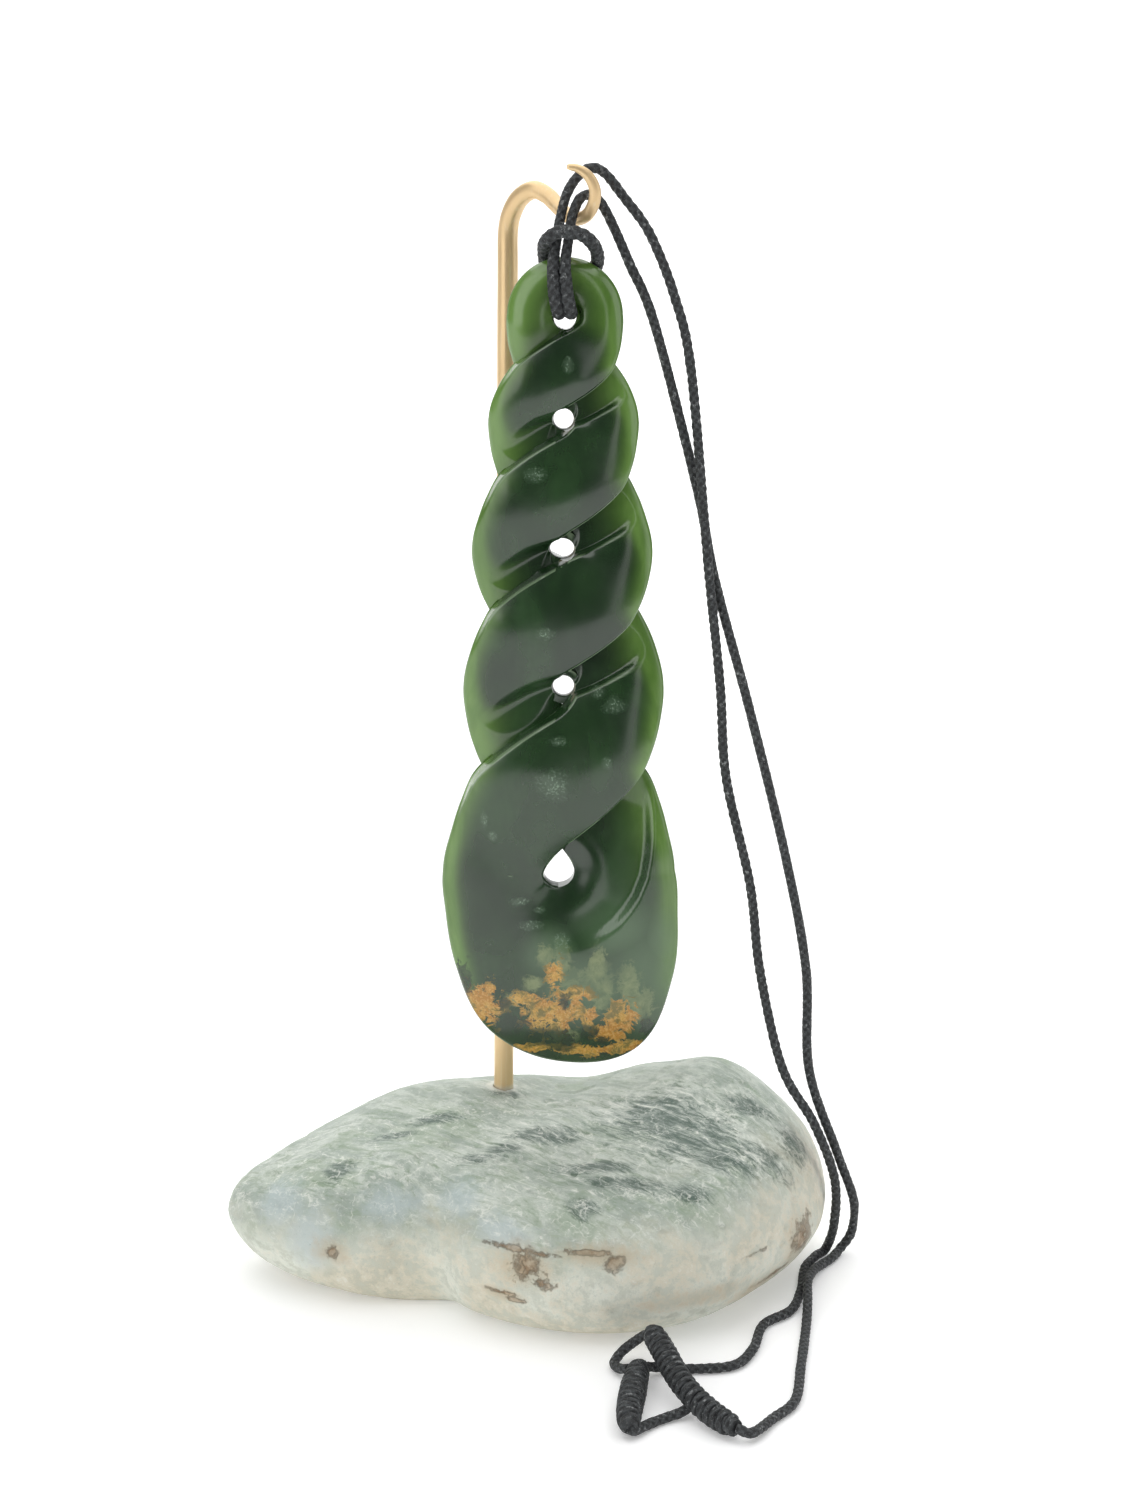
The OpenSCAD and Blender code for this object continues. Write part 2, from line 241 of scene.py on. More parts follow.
def braidHeight(turn, run):  # over and under of the yarns, 0 in the grooves and 1 on the crowns
    step = 2 * math.pi * cordSet["yarns"] / (cordSet["pitch"] * mm)
    first = (cordSet["yarns"] * turn + step * run) / 2
    second = (cordSet["yarns"] * turn - step * run) / 2
    weave = 0.4 * math.cos(first) * math.cos(second)
    return max(math.cos(first) ** 2 + weave, math.cos(second) ** 2 - weave) / 1.4


def kept(point):  # a cord lies flat on the floor, and stays inside the outer box of the solids
    return Vector([min(max(point[c], cadBox[0][c]), cadBox[1][c]) for c in range(3)])


def braidedTube(name, path, thick, sides, relief, fuller=0.0):  # its hitched first stretch may be fuller
    frames = sideways(path)
    rings, run = [], 0.0
    for i, (centre, (over, up)) in enumerate(zip(path, frames)):
        run += (centre - path[i - 1]).length if i else 0
        hitched = 1 - ease((run / mm - cordSet["hitched"]) / 8)
        fuzz = (1 + cordSet["fuzz"] * noise.noise(centre * 700)) * (1 + fuller * hitched)
        ring = []
        for s in range(sides):
            turn = 2 * math.pi * s / sides
            out = over * math.cos(turn) + up * math.sin(turn)
            rough = cordSet["fuzz"] * noise.noise((centre + out * mm) * 2400)
            reach = thick / 2 * fuzz * (1 + rough - relief + relief * braidHeight(turn, run))
            ring.append(kept(centre + out * reach))
        rings.append(ring)
    tube = ringsToMesh(name, rings)
    braidMap(tube, len(path), sides)
    return tube


def braidMap(tube, ringCount, sides):  # how deep each point lies in the braid, for the colour, which paints shade into the grooves
    depth = tube.data.attributes.new("depth", "FLOAT", "POINT")
    n = ringCount * sides
    for i in range(len(tube.data.vertices)):
        ring = min(i, n - 1) // sides
        turn = 2 * math.pi * (i % sides) / sides
        depth.data[i].value = braidHeight(turn, ring * cordSet["gap"] * mm)


def cordPiece(name, route, nodes, fuller=0.0):
    path = evenPath([[c * mm for c in p] for p in route], cordSet["gap"] * mm)
    piece = braidedTube(name, path, cordSet["thick"] * mm, cordSet["sides"], cordSet["relief"], fuller)
    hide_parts(*nodes)
    return piece, path


def strand(name, route, nodes):
    piece, path = cordPiece(name, route, nodes, cordSet["fuller"])
    round(runLength(path), 4)
    path[::6] + path[-1:]
    return piece


def wrap(name, make):  # a thread wound round the cord, turn against turn
    route = [Vector(p) * mm for p in make["route"]]
    axis = evenPath(route, 0.1 * mm)
    frames = sideways(axis)
    total = runLength(axis)
    thread = wrapSet["thread"] * mm
    turns = round((total - thread) / (wrapSet["pitch"] * mm))
    steps = turns * wrapSet["around"]
    helix = []
    for i in range(steps + 1):
        share = i / steps
        at = (len(axis) - 1) * (0.5 * thread + share * (total - thread)) / total
        j = min(int(at), len(axis) - 2)
        centre = axis[j].lerp(axis[j + 1], at - j)
        wide = along(make["wide"], share * (len(make["wide"]) - 1)) * mm
        reach = (wide - thread) / 2 * ease(min(share, 1 - share) * steps / 14 + 0.2)
        turn = 2 * math.pi * turns * share
        over, up = frames[j]
        helix.append(centre + over * (reach * math.cos(turn)) + up * (reach * math.sin(turn)))
    sides, relief = wrapSet["sides"], wrapSet["relief"]
    outer = braidedTube(name, evenly(helix, wrapSet["gap"] * mm), thread, sides, relief)
    core = braidedTube(name + "Core", evenly(axis, 0.3 * mm), wrapSet["core"] * mm, sides, relief)
    choose(outer)
    core.select_set(True)
    bpy.ops.object.join()
    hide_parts(make["node"])
    return outer


wrapLong = wrap("wrapLong", wrapSet["long"])
wrapShort = wrap("wrapShort", wrapSet["short"])
tailUpper = cordPiece("tailUpper", cordSet["tailUpper"], ["tail_upper"])[0]
tailLower = cordPiece("tailLower", cordSet["tailLower"], ["tail_lower"])[0]
strandOuter = strand("strandOuter", cordSet["outer"], ["cord_outer"])
strandInner = strand("strandInner", cordSet["inner"], ["cord_inner"])
cords = [strandOuter, strandInner, tailUpper, tailLower, wrapLong, wrapShort]
for piece in cords:
    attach(piece, "root")
print("cords laid")


# greenstone pendant: two flat strands twisted round each other, with a gouged trough through each opening

twist = {
    # sideways shift, height under the cord hole, half width of opening and of outline, thickness, lift
    "lobes": [(0.0, 0.0, 1.5, 8.2, 4.6, 1.2), (-0.2, -14.5, 1.4, 10.7, 5.2, 1.5),
              (-0.4, -33.1, 1.6, 13.0, 5.6, 1.8), (-0.2, -53.4, 1.5, 14.6, 5.9, 2.0),
              (-0.9, -81.5, 2.3, 17.2, 6.4, 2.1)],
    "bigLobe": [17.2, 19.2, 24.0, 30.2, 29.95, 27.1, 21.6, 18.2, 17.2],  # every 22.5 degrees, right to left
    "hole": (5.65, 0, 145.7), "tall": 120,
    # how a band widens from its opening to its outline, in tenths, and by how much at its two edges
    "widen": [0, 0, 0.02, 0.15, 0.5, 0.8, 0.98, 1.0, 0.5, 0.08, 0],
    "upper": [0.65, 1.55, 1.45, 2.5], "lower": [1.25, 1.5, 1.35, 1.4],
    # trough through an opening whose outline has this half width: x, height and width of its slope
    "cutFor": 14.6,
    "ridge": [(-8.0, -6.5, 0.6), (-0.5, -1.5, 0.6), (1.0, -0.95, 0.6), (2.8, -0.2, 0.6), (4.4, 0.45, 0.6),
              (5.9, 1.2, 0.65), (7.2, 1.95, 0.7), (8.6, 2.9, 0.9), (9.7, 4.0, 1.4), (10.4, 5.2, 2.0),
              (10.8, 6.7, 2.6), (10.5, 8.6, 2.8), (10.0, 10.0, 2.8), (9.0, 12.5, 2.8)],
    "shore": [(4.0, 3.4, 2.4), (0.0, 2.6, 2.4), (-2.0, 2.0, 2.4), (-4.0, 1.4, 2.5), (-6.0, 0.6, 2.6),
              (-8.0, -0.5, 2.7), (-10.0, -1.7, 2.8), (-12.0, -3.0, 2.9), (-13.5, -4.2, 3.0),
              (-16.0, -6.5, 3.0)],
    # rim of the dish beside the last opening: x, height, width of the slope
    "dish": [(11.6, 16.0, 2.6), (12.0, 13.0, 2.4), (12.2, 9.7, 2.2), (12.4, 5.4, 1.9), (12.3, 2.6, 1.6),
             (11.9, -0.3, 1.4), (10.8, -3.2, 1.3), (9.5, -5.2, 1.3), (8.0, -6.8, 1.5), (6.2, -7.9, 1.9),
             (4.4, -8.7, 2.4), (2.4, -9.3, 2.8), (0.0, -9.6, 3.0), (-3.0, -9.2, 3.0)],
    "floor": 0.42, "bevel": 0.65, "crispEdge": 0.68, "outerEdge": 0.3, "lowEdge": 0.6, "holeEdge": 0.5,
    "archRings": 26, "turnRings": 90, "footRings": 68, "places": 56,
    # slopes of the floors, the dish's rise and least height, and rings in it: reach, width, height
    "troughSlant": 0.08, "dishSlant": 0.09, "dishRise": 0.3, "dishLeast": 0.15,
    "dishRings": [(5.6, 1.5, 0.35), (2.3, 1.4, -0.3)],
    # drilled openings: lobe, half width, half height, thickness of the web round them
    "drilled": [(1, 1.4, 1.4, 0.8), (2, 1.7, 1.35, 0.85), (3, 1.5, 1.45, 0.9)], "cordHole": (1.62, 1.85),
    "webReach": 2.6, "drillSides": 56, "shadeAngle": 48, "smallest": 0.004,
}
last = len(twist["lobes"]) - 1
natural = twist["lobes"][0][3] - twist["lobes"][last][1] + max(twist["bigLobe"])
scale = mm * twist["tall"] / natural


def lobe(column, u):
    return along([row[column] for row in twist["lobes"]], u)


def strandPoint(u, k):  # middle of strand k, level with place u
    turn = math.pi * (u + k)
    swing = (lobe(2, u) + lobe(3, u)) / 2
    settle = ease(2 * u) * ease(2 * (last - u))
    return Vector((lobe(0, u) + swing * math.cos(turn), -lobe(5, u) * settle * math.sin(turn), lobe(1, u)))


def ringFrame(w, k):  # middle, way across, half width, thickness and lift; w runs from -1 to last + 1
    if 0 <= w <= last:
        run = strandPoint(w + 0.01, k) - strandPoint(w - 0.01, k)
        across = Vector((-run.z, 0, run.x)).normalized()
        centre = strandPoint(w, k)
        half = (lobe(3, w) - lobe(2, w)) / 2
        band = min(int(w), last - 1)
        share = w - band
        upper = twist["upper"][band] * along(twist["widen"], share * 10)
        lower = twist["lower"][band] * along(twist["widen"], (1 - share) * 10)
        low, high = (upper, lower) if (band + k) % 2 == 0 else (lower, upper)
        middle = Vector((centre.x, 0, centre.z)) + across * ((high - low) / 2)
        return middle, across, half + (low + high) / 2, lobe(4, w), -centre.y
    angle = math.radians(-90 * w if w < 0 else -90 * (w - last))
    row = twist["lobes"][0 if w < 0 else last]
    reach = row[3]
    if w > last:
        reach = along(twist["bigLobe"], (w - last) * 4 if k == 0 else 8 - (w - last) * 4)
    out = Vector((math.cos(angle) * (1 if k == 0 else -1), 0, math.sin(angle)))
    middle = Vector((row[0], 0, row[1])) + out * ((reach + row[2]) / 2)
    return middle, out if k == 0 else -out, (reach - row[2]) / 2, row[4], 0.0


def besideLine(line, x, z):  # distance to the right of a line of points, and the line's other columns there
    best = None
    for a, b in zip(line, line[1:]):
        dx, dz = b[0] - a[0], b[1] - a[1]
        f = min(max(((x - a[0]) * dx + (z - a[1]) * dz) / (dx * dx + dz * dz), 0), 1)
        ox, oz = x - a[0] - f * dx, z - a[1] - f * dz
        gap = math.hypot(ox, oz)
        if best is None or gap < abs(best[0]) - 1e-6:
            side = 1 if ox * dz - oz * dx > 0 else -1
            best = (side * gap, [mix(p, q, f) for p, q in zip(a[2:], b[2:])])
    return best


def cutShare(w, k, s, half, x, z):  # how far the surface has dropped from the face to the trough's floor
    fall = 0.0
    phase = (w + k) % 2
    nearest = min(max(round(w), 0), last)
    row = twist["lobes"][nearest]
    dx, dz = x - row[0], z - row[1]
    right = (nearest + k) % 2 == 0
    if 1 <= nearest < last:
        f = row[3] / twist["cutFor"]
        if right:
            gap, (wide,) = besideLine(twist["ridge"], dx / f, dz / f)
            fall = max(fall, 1 - ease(gap * f / wide))
        else:
            gap, (wide,) = besideLine(twist["shore"][::-1], dx / f, dz / f)
            fall = max(fall, ease(gap * f / wide))
    if nearest == last and (k == 0 or w > last):
        gap, (wide,) = besideLine(twist["dish"][::-1], dx, dz)
        deep = 1 - ease((-math.degrees(math.atan2(dz, dx)) - 30) / 75)
        fall = max(fall, deep * (1 - ease(gap / wide)))
    edge = 0.0
    inBand = 0 <= w <= last
    if (inBand and phase < 1) or (k == 0 and not inBand):
        inset = 0.4 * (1 - ease((w - 0.1) / 0.3)) if nearest == 0 else 0.0
        fade = 1 - ease((phase - 0.72) / 0.2) if inBand else 1 - ease((max(-w, w - last) - 0.15) / 0.6)
        edge = fade * (1 - ease(((s + 1) * half - inset) / (twist["bevel"] + 0.5 * inset)))
    return max(fall, edge)


def edgeShares(w, k):  # height left at the two edges of the face, as a share of the full one
    outer, crisp, low = twist["outerEdge"], twist["crispEdge"], twist["lowEdge"]
    if w < 0 or w > last:
        ends = (twist["holeEdge"], outer) if k == 0 else (outer, twist["holeEdge"])
        near, beyond = (0, -w) if w < 0 else (last, w - last)
        return [mix(p, q, ease(beyond / 0.5)) for p, q in zip(edgeShares(near, k), ends)]
    phase = (w + k) % 2
    if phase <= 1:
        return mix(crisp, outer, ease((phase - 0.68) / 0.3)), mix(outer, low, ease(phase / 0.25))
    return mix(outer, crisp, ease((phase - 1.6) / 0.35)), mix(low, outer, ease((phase - 1.4) / 0.3))


def faceHeight(w, k, s, frame):  # how far the front of strand k stands before the middle plane, s across it
    middle, across, half, thick, lift = frame
    low, high = edgeShares(w, k)
    share = low if s < 0 else high
    face = lift + thick / 2 * (1 - (1 - share) * abs(s) ** 2.4)
    place = middle + across * (half * s)
    outward = s if math.cos(math.pi * (min(max(w, 0), last) + k)) > 0 else -s
    bed = twist["floor"] * thick / 2 * (1 - 0.3 * max(outward, 0) ** 2)
    row = twist["lobes"][min(max(round(w), 0), last)]
    dx, dz = place.x - row[0], place.z - row[1]
    if w > last - 0.5:
        for at, wide, high in twist["dishRings"]:
            bed += high * math.exp(-((math.hypot(dx, dz) - at) / wide) ** 2)
        bed = max(bed + twist["dishRise"] - twist["dishSlant"] * (dz + 5), twist["dishLeast"])
    else:
        bed -= twist["troughSlant"] * min(max(dz - 0.35 * dx, -4), 4)
    fall = cutShare(w, k, s, half, place.x, place.z)
    rim = min(1 - s, 1 + s) * half
    return mix(face, min(bed, face), fall) - 0.22 * (1 - ease(rim / 0.35)) * (1 - 0.8 * fall)


def strandRings(k):
    steps = [-1 + i / twist["archRings"] for i in range(twist["archRings"])]
    steps += [i / twist["turnRings"] for i in range(last * twist["turnRings"] + 1)]
    steps += [last + i / twist["footRings"] for i in range(1, twist["footRings"] + 1)]
    count = twist["places"]
    places = [mix(v, math.sin(math.pi / 2 * v), 0.6) for v in (2 * i / count - 1 for i in range(count + 1))]
    hole = Vector(twist["hole"]) * mm
    rings = []
    for w in steps:
        frame, other = ringFrame(w, k), ringFrame(w, 1 - k)
        middle, across, half = frame[:3]
        front = [middle + across * (half * s) - Vector((0, faceHeight(w, k, s, frame), 0)) for s in places]
        back = [middle + across * (half * s) + Vector((0, faceHeight(w, 1 - k, -s, other), 0))
                for s in places[::-1]]
        rings.append([hole + p * scale for p in front + back])
    if k == 0:  # a short plug on each end reaches into the other strand
        plugs = []
        for ring in (rings[0], rings[-1]):
            centre = sum(ring, Vector()) / len(ring)
            plugs.append([centre + (p - centre) * 0.8 - Vector((0.9 * mm, 0, 0)) for p in ring])
        rings = plugs[:1] + rings + plugs[1:]
    return rings


def drill(centre, wide, high, flareFrom):  # round cutter along y, flared towards both faces
    half = [(flareFrom - 0.5, 0), (flareFrom - 0.2, 0.04), (flareFrom, 0.12)]
    half += [(flareFrom + 0.2, 0.22), (8, 0.22)]
    stations = [(-y, flare) for y, flare in half[::-1]] + half
    turns = [2 * math.pi * i / twist["drillSides"] for i in range(twist["drillSides"])]
    return ringsToMesh("drill", [
        [centre + Vector(((wide + flare) * math.cos(a), y, (high + flare) * math.sin(a))) * mm for a in turns]
        for y, flare in stations])


def unite(piece, other, operation):  # joins the other onto the piece, or cuts it away
    modifier = piece.modifiers.new("join", "BOOLEAN")
    modifier.operation, modifier.solver, modifier.object = operation, "MANIFOLD", other
    applyAll(piece)
    bpy.data.objects.remove(other)


def makePendant():
    pendant, other = [outward(ringsToMesh("strand" + str(k), strandRings(k))) for k in (0, 1)]
    pendant.name = "twistPendant"
    unite(pendant, other, "UNION")
    hole = Vector(twist["hole"]) * mm
    for index, wide, high, web in twist["drilled"]:
        row = twist["lobes"][index]
        centre = hole + Vector((row[0], 0, row[1])) * scale
        bpy.ops.mesh.primitive_cylinder_add(vertices=48, radius=twist["webReach"] * mm, depth=2 * web * mm,
                                            location=centre, rotation=(math.pi / 2, 0, 0))
        unite(pendant, bpy.context.object, "UNION")
        unite(pendant, outward(drill(centre, wide, high, web - 0.1)), "DIFFERENCE")
    unite(pendant, outward(drill(hole, *twist["cordHole"], 1.5)), "DIFFERENCE")
    choose(pendant)
    bpy.ops.object.mode_set(mode="EDIT")
    bpy.ops.mesh.select_all(action="SELECT")
    bpy.ops.mesh.dissolve_degenerate(threshold=twist["smallest"] * mm)
    bpy.ops.mesh.delete_loose()
    bpy.ops.mesh.select_all(action="DESELECT")
    bpy.ops.mesh.select_mode(type="EDGE")
    bpy.ops.mesh.select_non_manifold()
    bpy.ops.mesh.fill_holes(sides=0)
    bpy.ops.object.mode_set(mode="OBJECT")
    bpy.ops.object.shade_smooth_by_angle(angle=math.radians(twist["shadeAngle"]))
    print("pendant", volume(pendant), len(pendant.data.polygons), "faces")
    return pendant


def outward(piece):  # turns a shell right side out
    if volume(piece) < 0:
        piece.data.flip_normals()
    return piece


def volume(piece):
    b = bmesh.new()
    b.from_mesh(piece.data)
    amount = b.calc_volume(signed=True) * 1e9
    b.free()
    return round(amount, 1)


pendant = makePendant()
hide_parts("twist_pendant")
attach(pendant, "pendant")
print("pendant made")


# hooked brass rod

rodSet = {
    "sides": 40, "gap": 0.35,
    # x, y, z and diameter, from the foot in its bore to the blunt tip
    "route": [
        (-4.02, 12.0, 12.8, 3.0), (-3.67, 12.0, 48.8, 3.0), (-3.31, 12.0, 84.8, 3.0),
        (-2.96, 12.0, 120.8, 3.0), (-2.74, 12.0, 142.8, 3.0), (-2.65, 12.0, 151.8, 3.0),
        (-2.6, 12.0, 156.4, 2.96), (-2.1, 11.2, 159.2, 2.9), (-0.8, 9.7, 161.6, 2.8),
        (1.2, 8.0, 162.8, 2.6), (3.1, 6.5, 162.1, 2.45), (4.6, 5.0, 160.7, 2.3), (5.9, 3.4, 159.5, 2.1),
        (7.3, 1.2, 159.1, 2.0), (8.7, -1.0, 159.7, 1.85), (9.6, -2.6, 161.3, 1.75),
        (9.8, -3.4, 163.2, 1.65), (9.0, -3.8, 165.0, 1.5), (7.6, -4.0, 166.1, 1.2), (5.9, -4.0, 166.45, 0.8)],
}


def makeRod():
    route = rodSet["route"]
    points, wides = [], []
    for i in range(len(route) - 1):
        length = (Vector(route[i + 1][:3]) - Vector(route[i][:3])).length
        count = max(2, round(length / (1.5 if i < 5 else rodSet["gap"])))
        for j in range(count):
            u = i + j / count
            points.append(Vector([along([row[c] for row in route], u) for c in range(3)]) * mm)
            wides.append(along([row[3] for row in route], u))
    points.append(Vector(route[-1][:3]) * mm)
    wides.append(route[-1][3])
    frames = sideways(points)
    rings = []
    for i, (centre, (over, up)) in enumerate(zip(points, frames)):
        hammered = 1 + 0.012 * noise.noise(centre * 260)
        reach = wides[i] / 2 * mm * hammered
        rings.append([centre + over * (reach * math.cos(a)) + up * (reach * math.sin(a))
                      for a in (2 * math.pi * s / rodSet["sides"] for s in range(rodSet["sides"]))])
    for end, step in ((0, 1), (-1, -1)):  # rounded rims
        centre = points[end]
        inward = (points[end + step] - centre).normalized()
        rims = []
        for share, back in ((0.55, 0.0), (0.8, 0.06), (0.94, 0.2)):
            start = centre + inward * (back * wides[end] * mm)
            rims.append([start + (p - centre) * share for p in rings[end]])
        rings[end] = [p + inward * (0.4 * wides[end] * mm) for p in rings[end]]
        rings = rims + rings if end == 0 else rings + rims[::-1]
    rod = ringsToMesh("hookRod", rings)
    choose(rod)
    bpy.ops.object.shade_smooth_by_angle(angle=math.radians(45))
    return rod


rod = makeRod()
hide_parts("hook_rod")
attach(rod, "root")
print("rod made")


# boulder: a smooth form of rings, worn with low swells and small pits

boulderSet = {
    "around": 300, "rise": 12, "girthHigh": 9.0, "saddleHigh": 23.0,
    # reach of the girth every 22.5 degrees from the right towards the back
    "girth": [45.5, 47.8, 42.4, 32.4, 29.6, 29.7, 33.0, 40.5, 46.2, 35.4, 22.6, 23.7, 27.5, 33.0, 38.0, 41.2],
    # reach as a share of the girth's, and rise: -1 at the foot, 0 at the girth, 1 on top
    "profile": [(0.72, -1.0), (0.86, -0.8), (0.95, -0.46), (1.0, 0.0), (0.985, 0.38), (0.94, 0.66),
                (0.86, 0.84), (0.75, 0.94), (0.6, 0.99), (0.42, 1.0), (0.21, 1.0), (0.0, 1.0)],
    # x, y, spread along x, spread along y, height
    "humps": [(-8, 12, 17, 15, 2.4), (29.5, 12, 16, 15, 6.7), (-44, 2, 16, 20, -6.2), (22, -26, 14, 12, -1.5),
              (46, 12, 9, 14, -1.6)],
    "swell": 0.5, "pit": 0.35, "grain": 0.05,
    "bore": {"middle": (-4.0, 12, 22.4), "radius": 1.62, "deep": 20, "lean": 0.0101},
}


def boulderTop(x, y):
    rise = 0
    for atX, atY, alongX, alongY, high in boulderSet["humps"]:
        rise += high * math.exp(-((x - atX) / alongX) ** 2 - ((y - atY) / alongY) ** 2)
    ripple = 0.35 * math.sin(math.radians(9 * x + 40)) * math.cos(math.radians(11 * y))
    return boulderSet["saddleHigh"] + rise + ripple + 0.25 * math.sin(math.radians(21 * x - 13 * y))


def boulderWear(p):  # how deep the surface is worn at a point, in mm
    swell = 0.5 - 0.5 * noise.noise(p * 0.09 + Vector((3, 1, 7)))
    small = 0.5 - 0.5 * noise.noise(p * 0.28)
    pits = ease((noise.noise(p * 0.5 + Vector((9, 4, 2))) - 0.28) / 0.3)
    grain = noise.fractal(p * 1.6, 0.8, 2.1, 3)
    worn = boulderSet["swell"] * (0.7 * swell + 0.3 * small)
    return worn + boulderSet["pit"] * pits - boulderSet["grain"] * grain


def makeBoulder():
    make = boulderSet
    girth, count = make["girth"], make["around"]
    rings = []
    for j in range((len(make["profile"]) - 1) * make["rise"]):
        u = j / make["rise"]
        share, rise = [along([row[c] for row in make["profile"]], u) for c in (0, 1)]
        ring = []
        for i in range(count):
            turn = i / count
            place = turn * len(girth)
            whole = int(place)
            near = [girth[(whole + step) % len(girth)] for step in (-1, 0, 1, 2)]
            reach = share * smooth(*near, place - whole)
            x, y = reach * math.cos(2 * math.pi * turn), reach * math.sin(2 * math.pi * turn)
            z = make["girthHigh"] * (1 + rise)
            if rise >= 0:
                z = make["girthHigh"] + (boulderTop(x, y) - make["girthHigh"]) * min(rise, 1)
            ring.append(Vector((x, y, z)))
        rings.append(ring)
    rock = ringsToMesh("boulder", rings)
    low, high = [Vector(corner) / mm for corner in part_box("rock_base")]
    rock.data.update()
    normals = [Vector(v.normal) for v in rock.data.vertices]
    flip = -1 if volume(rock) < 0 else 1
    for v, normal in zip(rock.data.vertices, normals):
        if v.co.z < 0.01:
            continue
        worn = v.co - normal * (flip * boulderWear(v.co) * ease(v.co.z / 3))
        v.co = [min(max(worn[c], low[c]), high[c]) for c in range(3)]
    for v in rock.data.vertices:
        v.co *= mm
    if flip < 0:
        rock.data.flip_normals()
    bore = make["bore"]
    bpy.ops.mesh.primitive_cylinder_add(vertices=48, radius=bore["radius"] * mm, depth=bore["deep"] * mm,
                                        location=Vector(bore["middle"]) * mm, rotation=(0, bore["lean"], 0))
    unite(rock, bpy.context.object, "DIFFERENCE")
    choose(rock)
    bpy.ops.object.shade_smooth_by_angle(angle=math.radians(50))
    return rock


boulder = makeBoulder()
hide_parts("rock_base")
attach(boulder, "root")
print("boulder made", volume(boulder), len(boulder.data.polygons), "faces")


# shaders

class Wire:  # a socket's value, with arithmetic
    def __init__(self, paint, socket):
        self.paint, self.socket = paint, socket

    def __add__(self, other):
        return self.paint.sums("ADD", self, other)

    def __radd__(self, other):
        return self.paint.sums("ADD", other, self)

    def __sub__(self, other):
        return self.paint.sums("SUBTRACT", self, other)

    def __rsub__(self, other):
        return self.paint.sums("SUBTRACT", other, self)

    def __mul__(self, other):
        return self.paint.sums("MULTIPLY", self, other)


class Paint:  # one material's nodes
    def __init__(self, name):
        self.material = bpy.data.materials.new(name)
        self.material.use_nodes = True
        self.tree = self.material.node_tree
        self.surface = next(n for n in self.tree.nodes if n.type == "BSDF_PRINCIPLED")

    def feed(self, socket, value):
        if isinstance(value, Wire):
            self.tree.links.new(value.socket, socket)
        else:
            socket.default_value = value

    def node(self, kind, settings=None, values=None, output=0):
        made = self.tree.nodes.new(kind)
        for key, value in (settings or {}).items():
            setattr(made, key, value)
        for key, value in (values or {}).items():
            self.feed(made.inputs[key], value)
        return Wire(self, made.outputs[output])

    def sums(self, operation, first, second):
        return self.node("ShaderNodeMath", {"operation": operation}, {0: first, 1: second})

    def place(self):
        return self.node("ShaderNodeTexCoord", output="Object")

    def stretched(self, where, scale, turn=(0, 0, 0)):
        return self.node("ShaderNodeMapping", {}, {"Vector": where, "Scale": scale, "Rotation": turn})

    def cloud(self, where, scale, detail=4.0, rough=0.55, warp=0.0):
        return self.node("ShaderNodeTexNoise", {}, {"Vector": where, "Scale": scale, "Detail": detail,
                                                    "Roughness": rough, "Distortion": warp})

    def cracks(self, where, scale):  # distance to the nearest line of a net of cracks
        return self.node("ShaderNodeTexVoronoi", {"feature": "DISTANCE_TO_EDGE"}, {
            "Vector": where, "Scale": scale})

    def step(self, value, low, high, to=(0, 1)):
        return self.node("ShaderNodeMapRange", {"interpolation_type": "SMOOTHSTEP"}, {
            "Value": value, "From Min": low, "From Max": high, "To Min": to[0], "To Max": to[1]})

    def blend(self, share, first, second):
        made = self.tree.nodes.new("ShaderNodeMix")
        made.data_type = "RGBA"
        self.feed(made.inputs[0], share)
        for socket, colour in ((made.inputs[6], first), (made.inputs[7], second)):
            self.feed(socket, colour if isinstance(colour, Wire) else (*colour, 1))
        return Wire(self, made.outputs[2])

    def bump(self, height, distance):
        return self.node("ShaderNodeBump", {}, {"Height": height, "Distance": distance, "Strength": 1.0})

    def finish(self, piece, values):
        for key, value in values.items():
            self.feed(self.surface.inputs[key], value)
        piece.data.materials.clear()
        piece.data.materials.append(self.material)


def axisOf(paint, where, axis):
    return paint.node("ShaderNodeSeparateXYZ", {}, {"Vector": where}, axis)


def spot(paint, where, centre, size, soft=0.35, wobble=None):  # 1 inside an oval place, 0 outside
    shifted = paint.node("ShaderNodeVectorMath", {"operation": "SUBTRACT"}, {0: where, 1: centre})
    scaled = paint.node("ShaderNodeVectorMath", {"operation": "DIVIDE"}, {0: shifted, 1: size})
    reach = paint.node("ShaderNodeVectorMath", {"operation": "LENGTH"}, {0: scaled}, "Value")
    if wobble is not None:
        reach = reach + wobble
    return paint.step(reach, 1 + soft, 1 - soft)


